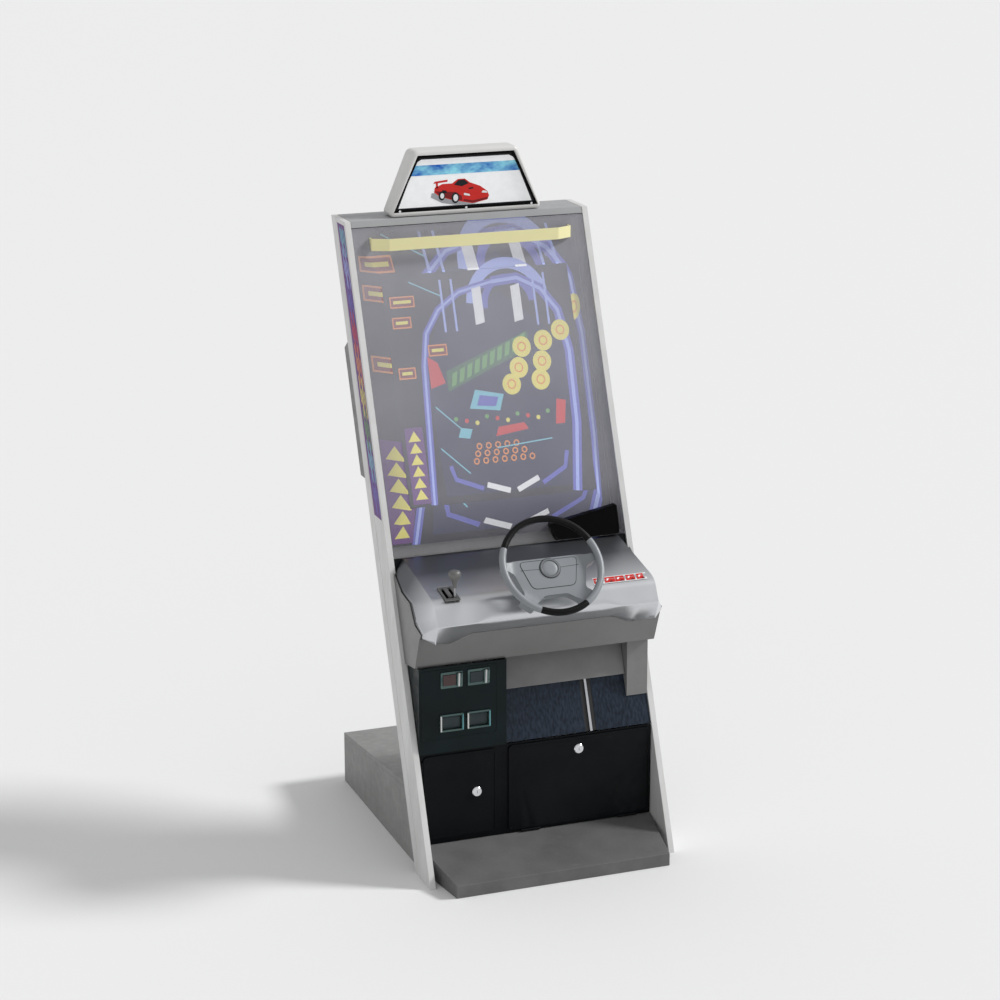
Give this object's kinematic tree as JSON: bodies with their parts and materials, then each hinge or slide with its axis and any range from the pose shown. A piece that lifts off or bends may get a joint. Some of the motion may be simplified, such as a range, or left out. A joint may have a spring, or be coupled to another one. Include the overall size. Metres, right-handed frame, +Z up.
{
  "type": "stand-up racing arcade cabinet",
  "caption": "Leaning slab racing cabinet on a wedge base with a foot ramp, steering wheel, gear lever, coin section, cash and service doors, screen window and lit roof sign.",
  "frame": {"origin": "middle of the cabinet's floor plan, on the floor", "axes": "+Z up, +Y from the player towards the back, +X to the player's right"},
  "size_m": [0.7608, 0.956, 1.993],
  "materials": {
    "board_white": "satin laminate",
    "art_print": "printed film",
    "grey_laminate": "satin",
    "grey_board": "painted board",
    "grey_steel": "satin powder coat",
    "screw_steel": "brushed",
    "black_plastic": "moulded",
    "circuit_green": "circuit board",
    "ramp_grey": "painted board",
    "black_steel": "textured black powder coat",
    "lock_chrome": "polished",
    "coin_green": "satin",
    "bezel_steel": "brushed",
    "button_red": "translucent",
    "flap_teal": "dark",
    "blue_metal": "brushed",
    "console_grey": "metallic satin",
    "wheel_plastic": "moulded grey and black",
    "brass": "machined",
    "gate_steel": "satin",
    "haze_glass": "smoked",
    "screen_print": "screen",
    "lamp_yellow": "translucent",
    "lamp_white": "opal",
    "black_gloss": "gloss",
    "sign_white": "moulded",
    "sign_print": "printed"
  },
  "bodies": {
    "cabinet": {"art_bezel": "art_print", "back_panel": "grey_board", "base_top_panel": "grey_laminate", "base_walls": "grey_board", "cash_box": "screw_steel", "coin_bezels": "bezel_steel", "coin_mechs": "screw_steel", "coin_panel": "coin_green", "column_bracket": "screw_steel", "console_back_plate": "grey_steel", "console_shell": "console_grey", "console_skirt": "console_grey", "cover_screws": "screw_steel", "display_pod": "black_gloss", "door_frame": "black_steel", "foot_ramp": "ramp_grey", "foot_well_panel": "blue_metal", "front_glass": "haze_glass", "game_electronics": "circuit_green", "hinge_pins": "screw_steel", "inner_battens": "grey_board", "levelling_feet": "black_plastic", "lower_floor": "grey_board", "power_inlet": "black_plastic", "rear_cover": "grey_steel", "roof_panel": "grey_laminate", "screen_chassis": "black_plastic", "screen_panel": "screen_print", "shaft_bearings": "screw_steel", "shifter_bracket": "screw_steel", "shifter_gate": "gate_steel", "side_art_sheets": "art_print", "side_boards": "board_white", "sign_frame": "black_plastic", "sign_lamp": "lamp_white", "sign_panel": "sign_print", "sign_shell": "sign_white", "steering_sensor": "black_plastic", "under_console_boxes": "grey_steel", "window_strip": "lamp_yellow"},
    "steering": {"wheel_rim": "wheel_plastic", "wheel_frame": "wheel_plastic", "wheel_pad": "wheel_plastic", "steering_shaft": "screw_steel", "steering_gear": "brass"},
    "sensor_gear": {"sensor_pinion": "brass"},
    "shifter_carriage": {"shifter_cradle": "screw_steel"},
    "shifter": {"shifter_lever": "gate_steel", "shifter_knob": "gate_steel"},
    "cash_door": {"cash_door": "black_steel", "cash_lock_body": "lock_chrome"},
    "cash_lock": {"cash_lock_plug": "lock_chrome"},
    "service_door": {"service_door": "black_steel", "service_lock_body": "lock_chrome"},
    "service_lock": {"service_lock_plug": "lock_chrome"},
    "reject_left": {"reject_button_left": "button_red"},
    "reject_right": {"reject_button_right": "button_red"},
    "flap_left": {"return_flap_left": "flap_teal"},
    "flap_right": {"return_flap_right": "flap_teal"},
    "power_switch": {"power_rocker": "black_plastic"}
  },
  "joints": [
    {"name": "steering_turn", "type": "hinge", "parent": "cabinet", "child": "steering", "pos_m": [0, -0.366, 0.919], "axis": [0, -0.7547, 0.6561], "range_deg": [-135, 135]},
    {"name": "sensor_spin", "type": "hinge", "parent": "cabinet", "child": "sensor_gear", "pos_m": [0.04725, -0.20147, 0.77598], "axis": [0, -0.7547, 0.6561], "range_deg": [-340, 340]},
    {"name": "shifter_select", "type": "hinge", "parent": "cabinet", "child": "shifter_carriage", "pos_m": [-0.268, -0.303, 0.76581], "axis": [0, 1, 0], "range_deg": [-15.5, 0]},
    {"name": "shifter_gear", "type": "hinge", "parent": "shifter_carriage", "child": "shifter", "pos_m": [-0.268, -0.303, 0.77581], "axis": [-1, 0, 0], "range_deg": [0, 30]},
    {"name": "cash_door_swing", "type": "hinge", "parent": "cabinet", "child": "cash_door", "pos_m": [-0.355, -0.2585, 0.2], "axis": [0, 0, -1], "range_deg": [0, 90]},
    {"name": "cash_lock_turn", "type": "hinge", "parent": "cash_door", "child": "cash_lock", "pos_m": [-0.187, -0.256, 0.221], "axis": [0, 1, 0], "range_deg": [0, 90]},
    {"name": "service_door_drop", "type": "hinge", "parent": "cabinet", "child": "service_door", "pos_m": [0.13, -0.2585, 0.079], "axis": [1, 0, 0], "range_deg": [0, 90]},
    {"name": "service_lock_turn", "type": "hinge", "parent": "service_door", "child": "service_lock", "pos_m": [0.13, -0.256, 0.31], "axis": [0, -1, 0], "range_deg": [0, 90]},
    {"name": "reject_left_press", "type": "slide", "parent": "cabinet", "child": "reject_left", "axis": [0, 1, 0], "range_m": [0, 0.004], "stiffness_N_per_m": 300, "springref_m": -0.002},
    {"name": "reject_right_press", "type": "slide", "parent": "cabinet", "child": "reject_right", "axis": [0, 1, 0], "range_m": [0, 0.004], "stiffness_N_per_m": 300, "springref_m": -0.002},
    {"name": "return_flap_left_swing", "type": "hinge", "parent": "cabinet", "child": "flap_left", "pos_m": [-0.263, -0.249, 0.4595], "axis": [1, 0, 0], "range_deg": [-60, 0]},
    {"name": "return_flap_right_swing", "type": "hinge", "parent": "cabinet", "child": "flap_right", "pos_m": [-0.181, -0.249, 0.4595], "axis": [1, 0, 0], "range_deg": [-60, 0]},
    {"name": "power_rocker_tilt", "type": "hinge", "parent": "cabinet", "child": "power_switch", "pos_m": [0.192, 0.27074, 1.1], "axis": [1, 0, 0], "range_deg": [-14, 0]}
  ],
  "couplings": [
    {"joint": "sensor_spin", "follows": "steering_turn", "ratio": -2.5}
  ]
}
